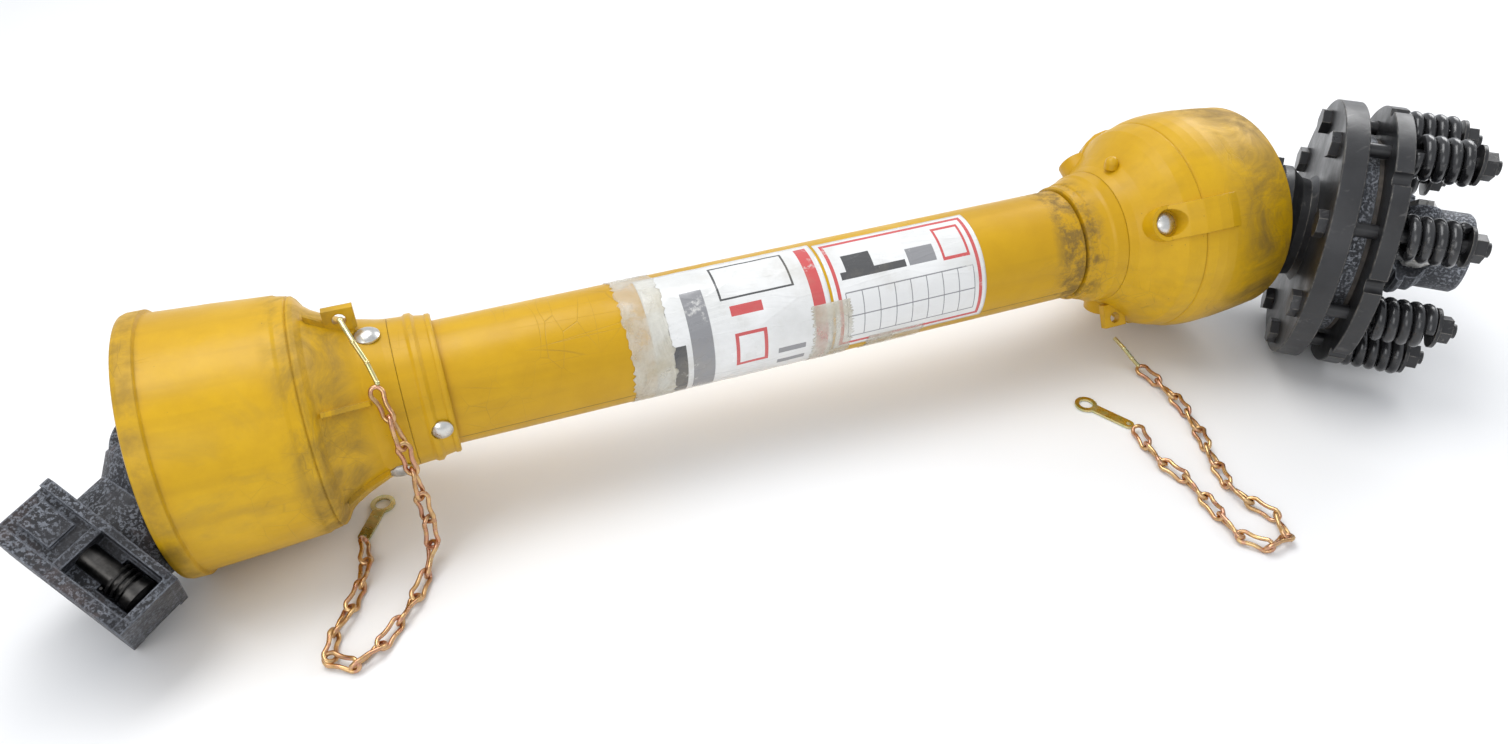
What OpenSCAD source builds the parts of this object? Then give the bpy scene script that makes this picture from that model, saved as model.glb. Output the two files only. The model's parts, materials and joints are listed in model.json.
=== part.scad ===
// Telescopic universal joint shaft: profile drive tubes, two cross joints, a rotating
// plastic guard with retaining chains, a quick release yoke and a spring loaded
// friction clutch. Millimetres, +Z up, lying on its side on the ground plane Z = 0.
// Stations along the shaft are measured from the middle of its near half.

/* [Shaft] */
// Roll of the yoke pins about the shaft
shaft_roll = 44; // [0:1:90]
// Rise of the shaft toward the clutch
shaft_tilt = 1.12; // [0:0.01:2]
// Station of the tractor side cross
cross_t = -152; // [-160:1:-145]
// Station of the implement side cross
cross_i = 551; // [545:1:560]
// Outside radius of the guard tube
guard_r = 40; // [39:0.5:41]
// Wall of the guard tubes
guard_wall = 3; // [2:0.5:3]

/* [Cross joints] */
// Radius of a bearing cup
cup_r = 15.1; // [14:0.1:16]
// Radius of a trunnion
trunnion_r = 9.5; // [9:0.5:10]
// Half span over the yoke ears
ear_out = 47; // [46:0.5:48]
// Radius of a yoke ear
ear_r = 24; // [22:0.5:24]
// Needles in one cup
needle_n = 24; // [12:1:26]

/* [Poses] */
// Swing of the quick release yoke toward the front
yoke_yaw = 36.5; // [0:0.5:37]
// Droop of the quick release yoke
yoke_droop = 14.3; // [0:0.5:15]
// Swing of the clutch toward the front
clutch_yaw = 40; // [0:1:48]

/* [Clutch] */
// Radius of the clutch plates
plate_r = 96; // [95:0.5:98.5]
// Radius of the bolt circle
bolt_pcr = 80; // [78:0.5:80]
// Number of bolts and springs
bolt_n = 8; // [6:2:8]
// Wire radius of a clutch spring
spring_wire = 3.9; // [3:0.1:4]
// Mean coil radius of a clutch spring
spring_r = 12.1; // [12:0.1:13]
// Turns of a clutch spring
spring_turns = 3.5; // [3:0.5:5]

/* [Chains] */
// Wire radius of a chain link
link_wire = 1.6; // [1.4:0.1:1.8]
// Inside length of a chain link
link_in = 19; // [17:0.5:22]
// Half of the inside width of a chain link
link_hw = 2.9; // [2.6:0.1:3.2]

/* [Hidden] */
$fn = 64;
eps = 0.01;
shift = [-227.81, 84.71, 0];
z_i = plate_r;
z_0 = z_i - cross_i*sin(shaft_tilt);
// direction of each outer yoke in the shaft's own rolled frame
dir_t = [-cos(yoke_droop)*cos(yoke_yaw), -cos(yoke_droop)*sin(yoke_yaw), -sin(yoke_droop)];
dir_i = [cos(clutch_yaw), -sin(clutch_yaw), 0];
function to_shaft(v) = let (x = v[0]*cos(shaft_tilt) + v[2]*sin(shaft_tilt),
    z = -v[0]*sin(shaft_tilt) + v[2]*cos(shaft_tilt), y = v[1])
    [x, y*cos(shaft_roll) + z*sin(shaft_roll), -y*sin(shaft_roll) + z*cos(shaft_roll)];
vt = to_shaft(dir_t);
vi = to_shaft(dir_i);
al_t = atan2(-vt[1], -vt[0]);
be_t = -asin(vt[2]);
al_i = atan2(vi[1], vi[0]);
be_i = -asin(vi[2]);

// ---- frames ----
module on_world() translate(shift) children();
module on_shaft() on_world() translate([0, 0, z_0]) rotate([0, -shaft_tilt, 0]) rotate([shaft_roll, 0, 0]) children();
// cross frames: x points out of the shaft, z along the inner pins
module at_t() on_shaft() translate([cross_t, 0, 0]) rotate([0, 0, 180]) children();
module at_i() on_shaft() translate([cross_i, 0, 0]) children();
module spin_t() at_t() rotate([0, 0, al_t]) children();
module spin_i() at_i() rotate([0, 0, al_i]) children();
module yoke_t() spin_t() rotate([0, be_t, 0]) children();
module yoke_i() spin_i() rotate([0, be_i, 0]) children();
// a round body about the x axis from a list of [station, radius]
module turned(p) rotate([90, 0, 90]) rotate_extrude($fn = 96) polygon([for (q = p) [q[1], q[0]]]);
module xcyl(x0, x1, r) translate([x0, 0, 0]) rotate([0, 90, 0]) cylinder(r = r, h = x1 - x0);
module ycyl(y0, y1, r, x = 0, z = 0) translate([x, y1, z]) rotate([90, 0, 0]) cylinder(r = r, h = y1 - y0);
module box(a, b) translate(a) cube([b[0]-a[0], b[1]-a[1], b[2]-a[2]]);

// ---- cross joint parts, pins along z ----
module both() for (m = [0, 180]) rotate([m, 0, 0]) children();
module cups() both() translate([0, 0, 29.2]) difference() {
    cylinder(r = cup_r - 0.02, h = 14.9);
    translate([0, 0, -1]) cylinder(r = trunnion_r + 2.56, h = 13.3);
    translate([0, 0, 14.4]) cylinder(r = 5, h = 1);
}
module needles() both() for (i = [0:needle_n-1]) rotate([0, 0, i*360/needle_n])
    translate([trunnion_r + 1.28, 0, 29.6]) cylinder(r = 1.25, h = 11.2, $fn = 16);
module rings() both() translate([0, 0, 44.4]) difference() {
    cylinder(r = cup_r + 1.3, h = 1.6);
    translate([0, 0, -1]) cylinder(r = cup_r - 2.4, h = 4);
    box([0, -4, -1], [20, 4, 4]);
}
module ears(s = 0) both() difference() {
    union() {
        translate([0, 0, 29]) cylinder(r = ear_r, h = ear_out - 29);
        children();
    }
    translate([0, 0, 20]) cylinder(r = cup_r, h = 40);
    translate([0, 0, 44.3]) cylinder(r = cup_r + 1.4, h = 1.8);
}
module spider() {
    difference() {
        union() {
            sphere(r = 17.5);
            for (a = [0, 90]) rotate([a, 0, 0]) {
                translate([0, 0, -41]) cylinder(r = trunnion_r, h = 82);
                translate([0, 0, -25.5]) cylinder(r = 14, h = 51);
            }
        }
        for (a = [0, 90]) rotate([a, 0, 0]) translate([0, 0, -42]) cylinder(r = 2, h = 84, $fn = 24);
        translate([0, 0, 0]) rotate([0, -90, 0]) cylinder(r = 2.5, h = 30, $fn = 24);
    }
}
module seals() for (a = [0, 90, 180, 270]) rotate([a, 0, 0]) translate([0, 0, 25.6]) difference() {
    cylinder(r = 14.2, h = 3.3);
    translate([0, 0, -1]) cylinder(r = trunnion_r + 0.02, h = 6);
}
module nipple() rotate([0, -90, 0]) union() {
    translate([0, 0, 8]) cylinder(r = 2.5, h = 10, $fn = 24);
    translate([0, 0, 17.6]) cylinder(r = 4.2, h = 3, $fn = 6);
    translate([0, 0, 20.6]) cylinder(r = 2.2, h = 2, $fn = 24);
    translate([0, 0, 22.6]) cylinder(r1 = 3, r2 = 1.6, h = 2.6, $fn = 24);
}

// ---- drive tubes ----
function tri_pt(d, r, k, s) = let (t = 90 + 120*k) [d*cos(t) + r*cos(t + s), d*sin(t) + r*sin(t + s)];
module tri(d, r) {
    polygon([for (k = [0:2]) each [tri_pt(d, r, k, -60), tri_pt(d, r, k, 60)]]);
    for (k = [0:2]) translate([d*cos(90 + 120*k), d*sin(90 + 120*k)]) circle(r = r);
}
module xprism(x0, x1) translate([x0, 0, 0]) rotate([90, 0, 90]) linear_extrude(height = x1 - x0) children();

module outer_drive_tube() color("dimgray") on_shaft() difference() {
    xprism(-92, 330) tri(22, 7.95);
    xprism(-93, 331) tri(22, 4);
    ycyl(-40, 40, 5, -82);
}
module inner_drive_tube() color("silver") on_shaft() difference() {
    xprism(20, 490) tri(22, 3.94);
    xcyl(19, 491, 9);
    ycyl(-40, 40, 5, 483);
}
module tractor_roll_pin() color("gray") on_shaft() difference() {
    ycyl(-33, 33, 4.98, -82);
    ycyl(-34, 34, 2.6, -82);
}
module implement_roll_pin() color("gray") on_shaft() difference() {
    ycyl(-29, 29, 4.98, 483);
    ycyl(-30, 30, 2.6, 483);
}
// fork of a tube yoke; x points out of the shaft
module tube_fork(hub_r, hub_x0, groove) {
    difference() {
        union() {
            both() {
                translate([0, 0, 29]) cylinder(r = ear_r, h = ear_out - 29);
                box([-58, -18, 31], [0, 18, ear_out]);
                translate([0, 0, 0]) intersection() {
                    box([-58, -24, 31], [-20, 24, ear_out]);
                    xcyl(-58, -20, 50);
                }
            }
            turned([[-54, 0], [-54, 44], [-57, 47], [-62, 47], [-68, hub_r + 4], [-70, hub_r], [hub_x0, hub_r], [hub_x0, 0]]);
        }
        both() {
            translate([0, 0, 20]) cylinder(r = cup_r, h = 40);
            translate([0, 0, 44.3]) cylinder(r = cup_r + 1.4, h = 1.8);
        }
        // bearing groove
        turned([[groove - 3.05, hub_r - 3], [groove - 3.05, hub_r + 6], [groove + 3.05, hub_r + 6], [groove + 3.05, hub_r - 3]]);
        xcyl(-64, -50, 18);
    }
}
module tractor_tube_yoke() color("#2a2a2c") difference() {
    at_t() tube_fork(34, -106, -85);
    on_shaft() { xprism(-92.1, -40) tri(22, 8); ycyl(-50, 50, 5, -82); }
}
module implement_tube_yoke() color("#2a2a2c") difference() {
    at_i() tube_fork(30, -100, -82);
    on_shaft() { xprism(440, 490.1) tri(22, 3.98); ycyl(-50, 50, 5, 483); }
}

// ---- quick release yoke: x out, pins along y, pocket open to +z ----
module plate_sq(x0, x1, hy, hz, r) xprism(x0, x1) {
    square([2*hy - 2*r, 2*hz], center = true);
    square([2*hy, 2*hz - 2*r], center = true);
    for (a = [-1, 1]) for (b = [-1, 1]) translate([a*(hy - r), b*(hz - r)]) circle(r = r);
}
module fork_outline(hy, x1, r) {
    translate([-0.01, -hy]) square([x1 - r + 0.01, 2*hy]);
    translate([-0.01, -(hy - r)]) square([x1 + 0.01, 2*(hy - r)]);
    for (a = [-1, 1]) translate([x1 - r, a*(hy - r)]) circle(r = r);
}
module quick_release_yoke() color("#3a3a3c") yoke_t() difference() {
    union() {
        rotate([90, 0, 0]) both() translate([0, 0, 29]) cylinder(r = ear_r, h = ear_out - 29);
        // broad U shaped fork
        translate([0, 0, -18]) linear_extrude(height = 36) difference() {
            fork_outline(46, 64, 26);
            translate([-1, 0]) fork_outline(31, 50.6, 15);
        }
        turned([[50, 0], [50, 39], [52, 41.5], [58, 41.5], [64, 37], [70, 32.5], [122, 32.5], [122, 0]]);
        plate_sq(88.6, 94, 44, 38, 9);
        plate_sq(120, 127.5, 44, 38, 12);
        // square corners and end wall of the pocket
        box([88.7, 30, 20], [94.2, 43.9, 36]);
        box([119.8, 30, 20], [127.4, 43.9, 36]);
        box([90, 38.5, -26], [124, 43.8, 35.8]);
        box([90, -43.8, -26], [124, -38, 26]);
        box([92, 18, -10], [122, 40, 22.9]);
        // boss round the release pin, its raised pad and the rib beside the pocket
        box([92, -42, 4], [122, -7, 32]);
        box([98.5, -36, 30], [115, -15, 34.4]);
        box([92, -7.5, 4], [122, -2, 36.2]);
        box([90, -4, -37], [124, 4, -20]);
    }
    rotate([90, 0, 0]) both() {
        translate([0, 0, 20]) cylinder(r = cup_r, h = 40);
        translate([0, 0, 44.3]) cylinder(r = cup_r + 1.4, h = 1.8);
    }
    // splined bore with a plain register at the mouth
    xcyl(44, 140, 14.9);
    xcyl(113, 140, 17.5);
    for (i = [0:5]) rotate([60*i, 0, 0]) box([44, -4.35, 10], [114, 4.35, 17.45]);
    // release pin hole, tangential to the bore
    ycyl(-41, 20, 7.05, 106, 23);
    ycyl(15, 38.6, 10.6, 106, 23);
    box([93.2, -2.1, 23], [119.9, 38.6, 60]);
}
module release_pin() color("silver") yoke_t() difference() {
    union() {
        ycyl(-34, 35, 7, 106, 23);
        ycyl(28.8, 34.2, 9.8, 106, 23);
        translate([106, 34.2, 23]) rotate([-90, 0, 0]) cylinder(r1 = 9.8, r2 = 6.5, h = 2);
    }
    ycyl(-2, 14, 40, 106, -22.4);
}
module coil(r, w, pitch, turns, n, m) {
    steps = turns*n;
    pts = [for (i = [0:steps]) for (j = [0:m-1]) let (a = 360*i/n, b = 360*j/m, q = r + w*cos(b))
        [q*cos(a), q*sin(a), pitch*i/n + w*sin(b)]];
    faces = concat(
        [[for (j = [0:m-1]) j]],
        [for (i = [0:steps-1]) for (j = [0:m-1]) [i*m + j, (i+1)*m + j, (i+1)*m + (j+1)%m]],
        [for (i = [0:steps-1]) for (j = [0:m-1]) [i*m + j, (i+1)*m + (j+1)%m, i*m + (j+1)%m]],
        [[for (j = [m-1:-1:0]) steps*m + j]]);
    polyhedron(points = pts, faces = faces);
}
module release_spring() color("silver") yoke_t() translate([106, 16.4, 23]) rotate([-90, 0, 0]) coil(8.6, 0.9, 3.6, 3, 14, 6);

// ---- guard ----
module guard_tube() color("gold") on_shaft() difference() {
    xcyl(-58, 419, guard_r);
    xcyl(-59, 420, guard_r - guard_wall);
}
module guard_inner_tube() color("gold") on_shaft() difference() {
    xcyl(-20, 462, guard_r - 3.6);
    xcyl(-21, 463, guard_r - 6.6);
}
// radii of the tractor bell's outside along the shaft
bell_t = [[-55.2, 47], [-60, 47.6], [-75, 51], [-88, 56.5], [-97, 61.5], [-101, 65], [-104, 70], [-106, 72], [-107, 72.2],
  [-107.8, 71.4], [-108.6, 72.6], [-114, 73.6], [-116, 74.6], [-150, 77], [-184.5, 78.8], [-185.5, 81], [-194, 81], [-196.4, 80.2], [-197, 79]];
bell_i = [[449, 49], [455, 52], [462, 57.5], [469, 64], [475, 69.5], [480, 73.6], [487, 76], [492, 77.2], [492.8, 76.4], [493.6, 77.6],
  [500, 79.6], [507, 80.6], [515, 81], [530, 80.6], [548, 79.2], [562, 77.6], [566, 77.2], [567, 76.2]];
module tractor_bell() color("gold") on_shaft() {
    difference() {
        union() {
            turned(concat(bell_t, [[-197, 77.4], [-196, 76.6], [-186, 76.2], [-150, 74.4], [-116, 71.6], [-106, 68.4], [-100, 62.5], [-90, 55],
                [-80, 47], [-76, 41], [-75, 40.05], [-55.2, 40.05]]));
            // chain ear
            difference() {
                rotate([0, 0, 0]) chain_ear_t() box([-9, -3, -5.5], [9, 3, 9]);
                chain_ear_t() rotate([90, 0, 0]) translate([0, 2, -10]) cylinder(r = 4, h = 20, $fn = 32);
            }
            // ribs on the cone
            for (a = [0:5]) rotate([60*a + 12, 0, 0]) intersection() {
                box([-99.3, -1.6, 40], [-72.7, 1.6, 75]);
                turned([[-103, 62.7], [-103, 69.4], [-89.3, 60.6], [-70.3, 52.9], [-70.3, 46.2], [-89.3, 55.6]]);
            }
        }
        for (a = [0:2]) rotate([120*a + 80, 0, 0]) translate([-67, 0, 36]) cylinder(r = 3.05, h = 30, $fn = 24);
        for (a = [0:2]) rotate([120*a + 80, 0, 0]) translate([-67, 0, 48.6]) cylinder(r = 8.3, h = 30, $fn = 32);
    }
}
module chain_ear_t() rotate([-45, 0, 0]) rotate([-4, 0, 0]) translate([-80, 0, 58]) children();
module chain_ear_i() rotate([-shaft_roll, 0, 0]) rotate([152, 0, 0]) translate([462, 0, 63]) children();
module implement_bell() color("gold") on_shaft() {
    difference() {
        union() {
            turned(concat(bell_i, [[567, 75.2], [566, 74.4], [548, 76.4], [530, 77.8], [515, 78], [505, 77], [492, 74], [482, 70],
                [478, 60], [477, 50], [477, 40.05], [462.2, 40.05], [462.2, 36.45], [449, 36.45]]));
            difference() {
                chain_ear_i() box([-9, -3, -9], [9, 3, 9]);
                chain_ear_i() rotate([90, 0, 0]) translate([0, 2, -10]) cylinder(r = 4, h = 20, $fn = 32);
            }
            // raised screw bosses
            for (a = [0:2]) rotate([120*a + 12, 0, 0]) {
                translate([470, 0, 52]) cylinder(r = 12.6, h = 14.2);
                intersection() {
                    box([471, -12, 50], [519, 12, 90]);
                    turned([[468, 58], [471, 67.5], [480, 75.6], [490, 81], [500, 83], [510, 83], [520, 80.4], [520, 79.4], [507, 79.2], [492, 75.6], [481, 71.5], [474, 66]]);
                }
            }
        }
        for (a = [0:2]) rotate([120*a + 12, 0, 0]) translate([470, 0, 38]) cylinder(r = 3.05, h = 60, $fn = 24);
        for (a = [0:2]) rotate([120*a + 12, 0, 0]) translate([470, 0, 62]) cylinder(r = 9.6, h = 60, $fn = 48);
    }
}
module tractor_collar() color("gold") on_shaft() difference() {
    turned([[-55, 40.05], [-55, 47], [-46, 46.4], [-44, 47.6], [-41, 47.6], [-39, 45.4], [-33, 44.4], [-32.4, 45], [-30, 45], [-29, 44], [-29, 40.05]]);
    rotate([46, 0, 0]) translate([-37.5, 0, 36]) cylinder(r = 3.05, h = 30, $fn = 24);
    rotate([46, 0, 0]) translate([-37.5, 0, 45.4]) cylinder(r = 6.6, h = 30, $fn = 32);
    rotate([150, 0, 0]) box([-60, -1, 30], [-20, 1, 60]);
}
module implement_collar() color("gold") on_shaft() difference() {
    turned([[421, 36.45], [421, 41.4], [422, 42.4], [428, 42.6], [429, 43.6], [438, 46.4], [440, 47.8], [448.8, 48.8], [448.8, 36.45]]);
    rotate([200, 0, 0]) box([400, -1, 30], [460, 1, 60]);
}
module dome_screw(head_r, shank) union() {
    translate([0, 0, -shank]) cylinder(r = 3, h = shank + 0.1, $fn = 24);
    cylinder(r = head_r, h = 1.2, $fn = 48);
    intersection() {
        translate([0, 0, 1.2 - head_r*0.9]) sphere(r = head_r*1.345);
        translate([0, 0, 1.1]) cylinder(r = head_r, h = head_r, $fn = 48);
    }
}
module tractor_bell_screws() color("silver") on_shaft() for (a = [0:2]) rotate([120*a + 80, 0, 0]) translate([-67, 0, 48.62]) dome_screw(7.6, 10.5);
module tractor_collar_screw() color("silver") on_shaft() rotate([46, 0, 0]) translate([-37.5, 0, 45.42]) dome_screw(6.4, 5.3);
module implement_bell_screws() color("silver") on_shaft() for (a = [0:2]) rotate([120*a + 12, 0, 0]) translate([470, 0, 62.02]) dome_screw(7.8, 24);
module implement_bell_plug() color("gold") on_shaft() rotate([-46, 0, 0]) translate([458, 0, 54.6]) union() {
    cylinder(r = 5, h = 4, $fn = 32);
    translate([0, 0, 4]) sphere(r = 4.9, $fn = 32);
}
module tractor_bearing_ring() color("ivory") on_shaft() difference() {
    turned([[-74.6, 34.1], [-74.6, 40], [-59, 40], [-59, 34.1], [-64.05, 34.1], [-64.05, 31.06], [-69.95, 31.06], [-69.95, 34.1]]);
    for (a = [0:2]) rotate([120*a + 80, 0, 0]) translate([-67, 0, 37.9]) cylinder(r = 3.05, h = 30, $fn = 24);
    rotate([80, 0, 0]) box([-80, -1, 20], [-50, 1, 60]);
}
module implement_bearing_ring() color("ivory") on_shaft() difference() {
    turned([[462.6, 30.1], [462.6, 40], [476.8, 40], [476.8, 30.1], [471.95, 30.1], [471.95, 27.06], [466.05, 27.06], [466.05, 30.1]]);
    for (a = [0:2]) rotate([120*a + 12, 0, 0]) translate([470, 0, 37.9]) cylinder(r = 3.05, h = 30, $fn = 24);
    rotate([80, 0, 0]) box([455, -1, 20], [485, 1, 60]);
}
// thin film wrapped on the guard tube
module film(x0, x1, r0, r1, a0, a1) rotate([-shaft_roll, 0, 0]) intersection() {
    difference() { xcyl(x0, x1, r1); xcyl(x0 - 1, x1 + 1, r0); }
    rotate([a0, 0, 0]) translate([x0 - 1, 0, 0]) rotate([90, 0, 90]) linear_extrude(height = x1 - x0 + 2)
        polygon([[0, 0], for (i = [0:8]) 60*[cos(i*(a1 - a0)/8), sin(i*(a1 - a0)/8)]]);
}
module paper_wrap() color("white") on_shaft() film(97, 222, guard_r + 0.01, guard_r + 0.35, 30, 250);
module rating_label() color("white") on_shaft() film(224, 339, guard_r + 0.01, guard_r + 0.3, 80, 212);

// ---- chains ----
// smooth path through a few set points
function cr(p0, p1, p2, p3, t) = 0.5*(2*p1 + (p2 - p0)*t + (2*p0 - 5*p1 + 4*p2 - p3)*t*t + (3*p1 - p0 - 3*p2 + p3)*t*t*t);
function path(p, n) = let (m = len(p)) [for (i = [0:m-2]) for (k = [0:n-1]) cr(p[max(i-1, 0)], p[i], p[i+1], p[min(i+2, m-1)], k/n), p[m-1]];
// arc length up to each point of a path
function sums(q, i = 0, s = 0) = i >= len(q) ? [] : concat([s], sums(q, i + 1, i + 1 < len(q) ? s + norm(q[i+1] - q[i]) : s));
function along(q, l, s) = let (k = [for (i = [0:len(q)-2]) if (l[i] <= s && s <= l[i+1]) i][0]) q[k] + (q[k+1] - q[k])*(s - l[k])/(l[k+1] - l[k]);
link_pitch = link_in - 0.9;
module link() {
    h = link_in/2 - link_hw;
    w = link_hw + link_wire;
    for (s = [-1, 1]) {
        translate([0, s*w, 0]) rotate([0, 90, 0]) cylinder(r = link_wire, h = 2*h, center = true, $fn = 20);
        translate([s*h, 0, 0]) rotate([0, 0, s > 0 ? -90 : 90]) rotate_extrude(angle = 180, $fn = 40) translate([w, 0]) circle(r = link_wire, $fn = 20);
    }
}
// links on the rail: neighbours stand at right angles to each other
module chain(rail, r0 = 45) {
    q = path(rail, 10);
    l = sums(q);
    n = floor(l[len(l)-1]/link_pitch);
    for (i = [0:n-1]) {
        a = along(q, l, i*link_pitch + 0.01);
        b = along(q, l, (i + 1)*link_pitch - 0.01);
        d = (b - a)/norm(b - a);
        translate((a + b)/2) rotate([0, -asin(d[2]), atan2(d[1], d[0])]) rotate([i % 2 == 0 ? r0 : r0 - 90, 0, 0]) link();
    }
}
rail_t = [[-69, -44, 122], [-64, -54, 104], [-60, -60, 78], [-58, -63, 50], [-57, -66, 24], [-61, -74, 8], [-72, -96, 5], [-88, -118, 5], [-106, -136, 5],
  [-124, -134, 5], [-122, -112, 5], [-108, -88, 5], [-100, -64, 5], [-99, -40, 5]];
rail_i = [[475, -60, 5.4], [478, -88, 5], [474, -122, 5], [462, -158, 5], [452, -194, 5], [462, -226, 5], [450, -246, 5], [430, -236, 5],
  [428, -206, 5], [430, -178, 5], [424, -148, 5], [430, -118, 5]];
module tractor_chain() color("#8a8468") on_world() chain(rail_t);
module implement_chain() color("#8a8468") on_world() chain(rail_i);
module ring_wire(r, w) rotate_extrude($fn = 48) translate([r, 0]) circle(r = w, $fn = 20);
module rod(a, b, r) let (d = b - a, n = norm(d)) translate(a) rotate([0, acos(d[2]/n), atan2(d[1], d[0])]) cylinder(r = r, h = n, $fn = 20);
module hook(pts, r) for (i = [0:len(pts)-2]) { rod(pts[i], pts[i+1], r); translate(pts[i+1]) sphere(r = r*1.16, $fn = 24); }
// spring hook: legs from the ear down to a round eye
module tractor_chain_hook() color("#b8b4a0") on_world() hook([[-80, 4, 143.2], [-80, -8, 150], [-75, -24, 144], [-70, -34, 135], [-67, -42, 125.5]], 1.5);
module implement_chain_hook() color("#a08a50") on_world() hook([[462, -39, 23], [464, -49, 20], [470, -54, 12], [474.6, -57.4, 6.4]], 1.5);
module strap(len) difference() {
    union() { box([0, -4, 0], [len, 4, 1.6]); translate([len, 0, 0]) cylinder(r = 8, h = 1.6, $fn = 40); cylinder(r = 4, h = 1.6, $fn = 32); }
    translate([len, 0, -1]) cylinder(r = 5, h = 5, $fn = 32);
    translate([0, 0, -1]) cylinder(r = 1.7, h = 5, $fn = 24);
}
module tractor_chain_clip() color("#c8c0a0") on_world() translate([-99, -33, 0.6]) rotate([0, 0, 62]) strap(30);
module implement_chain_clip() color("#c8a860") on_world() translate([430, -109, 0.6]) rotate([0, 0, 118]) strap(34);

// ---- clutch: x out along its axis, pins along y ----
module bolts_at() for (i = [0:bolt_n-1]) rotate([360/bolt_n*(i + 0.5), 0, 0]) translate([0, bolt_pcr, 0]) children();
module clutch_flange_yoke() color("#202022") yoke_i() difference() {
    union() {
        rotate([90, 0, 0]) both() {
            translate([0, 0, 29]) cylinder(r = ear_r, h = ear_out - 29);
            box([0, -18, 31], [50, 18, 46]);
        }
        turned([[47.5, 0], [47.5, 40], [50, 44], [56, 44], [60, 40], [64, 37], [70, 36], [74, 40], [74, plate_r - 0.6], [74.6, plate_r], [89.4, plate_r], [90, plate_r - 0.6], [90, 0]]);
    }
    rotate([90, 0, 0]) both() {
        translate([0, 0, 20]) cylinder(r = cup_r, h = 40);
        translate([0, 0, 44.3]) cylinder(r = cup_r + 1.4, h = 1.8);
    }
    xcyl(66, 95, 25);
    xcyl(45, 70, 20);
    bolts_at() xcyl(60, 100, 5.5);
}
module clutch_bush() color("peru") yoke_i() difference() { xcyl(68, 90, 24.95); xcyl(67, 91, 22.05); }
module pressure_plate() color("#202022") yoke_i() difference() {
    turned([[106.5, 34], [106.5, plate_r - 0.6], [107.1, plate_r], [117.9, plate_r], [118.5, plate_r - 0.6], [118.5, 34]]);
    bolts_at() xcyl(100, 130, 5.5);
    for (i = [0:bolt_n-1]) rotate([360/bolt_n*i, 0, 0]) translate([0, plate_r, 0]) xcyl(100, 130, 5);
}
module clutch_bolts() color("#3a3a3a") yoke_i() bolts_at() {
    xcyl(73, 175, 5);
    translate([67.6, 0, 0]) rotate([0, 90, 0]) rotate([0, 0, 12]) cylinder(r = 9.8, h = 6.38, $fn = 6);
}
module clutch_springs() color("#101012") yoke_i() bolts_at() translate([118.6 + spring_wire, 0, 0]) rotate([0, 90, 0])
    coil(spring_r, spring_wire, (42 - 2*spring_wire)/spring_turns, spring_turns, 14, 6);
module clutch_nuts() color("#4a4a4a") yoke_i() bolts_at() difference() {
    union() {
        xcyl(160.7, 163.2, 14);
        translate([163.2, 0, 0]) rotate([0, 90, 0]) cylinder(r = 9.8, h = 8.4, $fn = 6);
    }
    xcyl(150, 180, 5.02);
}
module clutch_hub() color("#2c2c2e") yoke_i() difference() {
    union() {
        turned([[69, 0], [69, 21], [70, 22], [93.25, 22], [93.25, 73], [103.25, 73], [103.25, 31], [140, 31], [146, 33], [152, 33], [156, 29], [180, 29], [182, 27.5], [182, 0]]);
        ycyl(-22, 22, 13, 146, 26);
        turned([[132, 0], [138, 36], [141, 37], [144, 36], [146, 0]]);
    }
    xcyl(60, 190, 14.9);
    xcyl(160, 190, 17.5);
    xcyl(60, 80, 17.5);
    for (i = [0:5]) rotate([60*i + 30, 0, 0]) box([60, -4.35, 10], [190, 4.35, 17.45]);
    ycyl(-60, 60, 6.02, 146, 23.5);
    ycyl(14, 60, 14.5, 146, 26);
    ycyl(-60, -16, 14.5, 146, 26);
}
module friction_linings() color("#5a5248") yoke_i() for (x = [90.05, 103.3]) difference() { xcyl(x, x + 3.15, 72); xcyl(x - 1, x + 5, 46); }
module hub_clamp_bolt() color("silver") yoke_i() {
    ycyl(-26, 14.1, 6, 146, 23.5);
    translate([146, 14, 23.5]) rotate([-90, 0, 0]) cylinder(r = 10, h = 7.5, $fn = 6);
}
module hub_clamp_nut() color("silver") yoke_i() difference() {
    translate([146, -16, 23.5]) rotate([90, 0, 0]) cylinder(r = 10, h = 8, $fn = 6);
    ycyl(-40, 0, 6.02, 146, 23.5);
}

// ---- cross joint parts in place ----
module tractor_cups_a() color("silver") at_t() cups();
module tractor_needles_a() color("silver") at_t() needles();
module tractor_rings_a() color("dimgray") at_t() rings();
module tractor_cups_b() color("silver") yoke_t() rotate([90, 0, 0]) cups();
module tractor_needles_b() color("silver") yoke_t() rotate([90, 0, 0]) needles();
module tractor_rings_b() color("dimgray") yoke_t() rotate([90, 0, 0]) rings();
module tractor_spider() color("gray") spin_t() spider();
module tractor_seals() color("#202020") spin_t() seals();
module tractor_nipple() color("goldenrod") spin_t() nipple();
module implement_cups_a() color("silver") at_i() cups();
module implement_needles_a() color("silver") at_i() needles();
module implement_rings_a() color("dimgray") at_i() rings();
module clutch_cups_b() color("silver") yoke_i() rotate([90, 0, 0]) cups();
module clutch_needles_b() color("silver") yoke_i() rotate([90, 0, 0]) needles();
module clutch_rings_b() color("dimgray") yoke_i() rotate([90, 0, 0]) rings();
module implement_spider() color("gray") spin_i() spider();
module implement_seals() color("#202020") spin_i() seals();
module implement_nipple() color("goldenrod") spin_i() nipple();

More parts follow.
